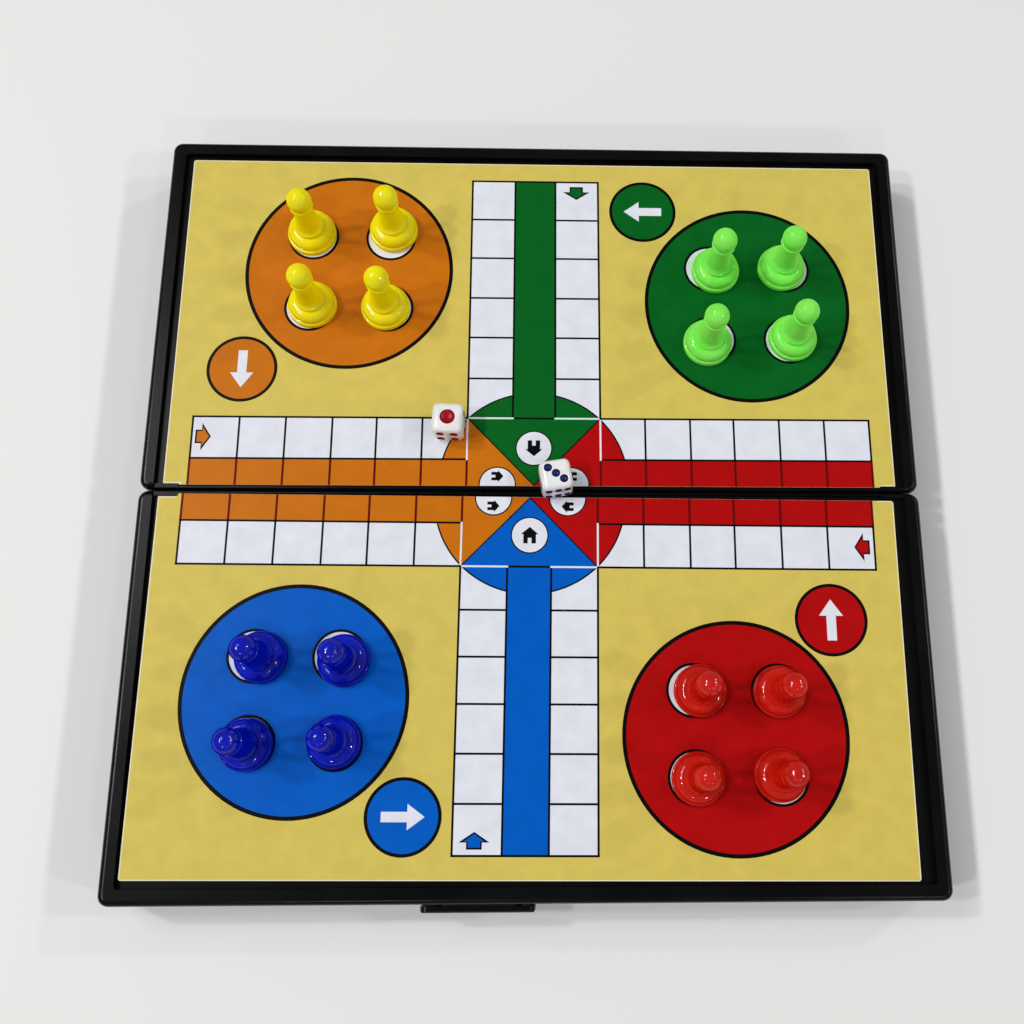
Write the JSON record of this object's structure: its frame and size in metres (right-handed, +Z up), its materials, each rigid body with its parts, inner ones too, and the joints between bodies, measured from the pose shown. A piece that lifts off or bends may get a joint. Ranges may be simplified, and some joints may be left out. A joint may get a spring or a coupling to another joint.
{
  "type": "folding ludo board box",
  "caption": "Folding ludo board: two hollow black half trays on a hinge with printed play sheets, a closing clasp, magnetic pawns and dice, shown open.",
  "frame": {"origin": "middle of the hinge line, on the table the open box lies on", "axes": "+X along the hinge to the right, +Y towards the far half (away from the clasp), +Z up"},
  "size_m": [0.25, 0.2539, 0.0442],
  "materials": {
    "shell_plastic": "black moulded plastic with a satin surface",
    "steel": "bright steel sheet and wire",
    "play_sheet": "printed paper under a glossy clear film",
    "yellow_pawn": "opaque yellow, glossy",
    "green_pawn": "translucent green, glossy",
    "blue_pawn": "translucent deep blue, glossy",
    "red_pawn": "translucent red, glossy",
    "magnet": "dull dark grey ferrite",
    "die": "white, glossy"
  },
  "bodies": {
    "near_half": {"near_shell": "shell_plastic", "near_steel_plate": "steel", "near_play_sheet": "play_sheet", "left_hinge_pin": "steel", "right_hinge_pin": "steel", "clasp_pin": "steel"},
    "far_half": {"far_shell": "shell_plastic", "far_steel_plate": "steel", "far_play_sheet": "play_sheet"},
    "clasp": {"clasp": "shell_plastic"},
    "yellow_pawn_1": {"yellow_pawn_1": "yellow_pawn", "yellow_magnet_1": "magnet"},
    "yellow_pawn_2": {"yellow_pawn_2": "yellow_pawn", "yellow_magnet_2": "magnet"},
    "yellow_pawn_3": {"yellow_pawn_3": "yellow_pawn", "yellow_magnet_3": "magnet"},
    "yellow_pawn_4": {"yellow_pawn_4": "yellow_pawn", "yellow_magnet_4": "magnet"},
    "green_pawn_1": {"green_pawn_1": "green_pawn", "green_magnet_1": "magnet"},
    "green_pawn_2": {"green_pawn_2": "green_pawn", "green_magnet_2": "magnet"},
    "green_pawn_3": {"green_pawn_3": "green_pawn", "green_magnet_3": "magnet"},
    "green_pawn_4": {"green_pawn_4": "green_pawn", "green_magnet_4": "magnet"},
    "blue_pawn_1": {"blue_pawn_1": "blue_pawn", "blue_magnet_1": "magnet"},
    "blue_pawn_2": {"blue_pawn_2": "blue_pawn", "blue_magnet_2": "magnet"},
    "blue_pawn_3": {"blue_pawn_3": "blue_pawn", "blue_magnet_3": "magnet"},
    "blue_pawn_4": {"blue_pawn_4": "blue_pawn", "blue_magnet_4": "magnet"},
    "red_pawn_1": {"red_pawn_1": "red_pawn", "red_magnet_1": "magnet"},
    "red_pawn_2": {"red_pawn_2": "red_pawn", "red_magnet_2": "magnet"},
    "red_pawn_3": {"red_pawn_3": "red_pawn", "red_magnet_3": "magnet"},
    "red_pawn_4": {"red_pawn_4": "red_pawn", "red_magnet_4": "magnet"},
    "die_one": {"die_one": "die"},
    "die_two": {"die_two": "die"}
  },
  "joints": [
    {"name": "fold", "type": "hinge", "parent": "near_half", "child": "far_half", "pos_m": [0, 0, 0.002], "axis": [-1, 0, 0], "range_deg": [0, 180]},
    {"name": "clasp_swing", "type": "hinge", "parent": "near_half", "child": "clasp", "pos_m": [-0.0155, -0.1266, 0.005], "axis": [1, 0, 0], "range_deg": [0, 180]},
    {"name": "yellow_pawn_1_lift", "type": "slide", "parent": "far_half", "child": "yellow_pawn_1", "axis": [0, 0, 1], "range_m": [0, 0.03]},
    {"name": "yellow_pawn_2_lift", "type": "slide", "parent": "far_half", "child": "yellow_pawn_2", "axis": [0, 0, 1], "range_m": [0, 0.03]},
    {"name": "yellow_pawn_3_lift", "type": "slide", "parent": "far_half", "child": "yellow_pawn_3", "axis": [0, 0, 1], "range_m": [0, 0.03]},
    {"name": "yellow_pawn_4_lift", "type": "slide", "parent": "far_half", "child": "yellow_pawn_4", "axis": [0, 0, 1], "range_m": [0, 0.03]},
    {"name": "green_pawn_1_lift", "type": "slide", "parent": "far_half", "child": "green_pawn_1", "axis": [0, 0, 1], "range_m": [0, 0.03]},
    {"name": "green_pawn_2_lift", "type": "slide", "parent": "far_half", "child": "green_pawn_2", "axis": [0, 0, 1], "range_m": [0, 0.03]},
    {"name": "green_pawn_3_lift", "type": "slide", "parent": "far_half", "child": "green_pawn_3", "axis": [0, 0, 1], "range_m": [0, 0.03]},
    {"name": "green_pawn_4_lift", "type": "slide", "parent": "far_half", "child": "green_pawn_4", "axis": [0, 0, 1], "range_m": [0, 0.03]},
    {"name": "blue_pawn_1_lift", "type": "slide", "parent": "near_half", "child": "blue_pawn_1", "axis": [0, 0, 1], "range_m": [0, 0.03]},
    {"name": "blue_pawn_2_lift", "type": "slide", "parent": "near_half", "child": "blue_pawn_2", "axis": [0, 0, 1], "range_m": [0, 0.03]},
    {"name": "blue_pawn_3_lift", "type": "slide", "parent": "near_half", "child": "blue_pawn_3", "axis": [0, 0, 1], "range_m": [0, 0.03]},
    {"name": "blue_pawn_4_lift", "type": "slide", "parent": "near_half", "child": "blue_pawn_4", "axis": [0, 0, 1], "range_m": [0, 0.03]},
    {"name": "red_pawn_1_lift", "type": "slide", "parent": "near_half", "child": "red_pawn_1", "axis": [0, 0, 1], "range_m": [0, 0.03]},
    {"name": "red_pawn_2_lift", "type": "slide", "parent": "near_half", "child": "red_pawn_2", "axis": [0, 0, 1], "range_m": [0, 0.03]},
    {"name": "red_pawn_3_lift", "type": "slide", "parent": "near_half", "child": "red_pawn_3", "axis": [0, 0, 1], "range_m": [0, 0.03]},
    {"name": "red_pawn_4_lift", "type": "slide", "parent": "near_half", "child": "red_pawn_4", "axis": [0, 0, 1], "range_m": [0, 0.03]},
    {"name": "die_one_lift", "type": "slide", "parent": "far_half", "child": "die_one", "axis": [0, 0, 1], "range_m": [0, 0.03]},
    {"name": "die_two_lift", "type": "slide", "parent": "far_half", "child": "die_two", "axis": [0, 0, 1], "range_m": [0, 0.03]}
  ]
}
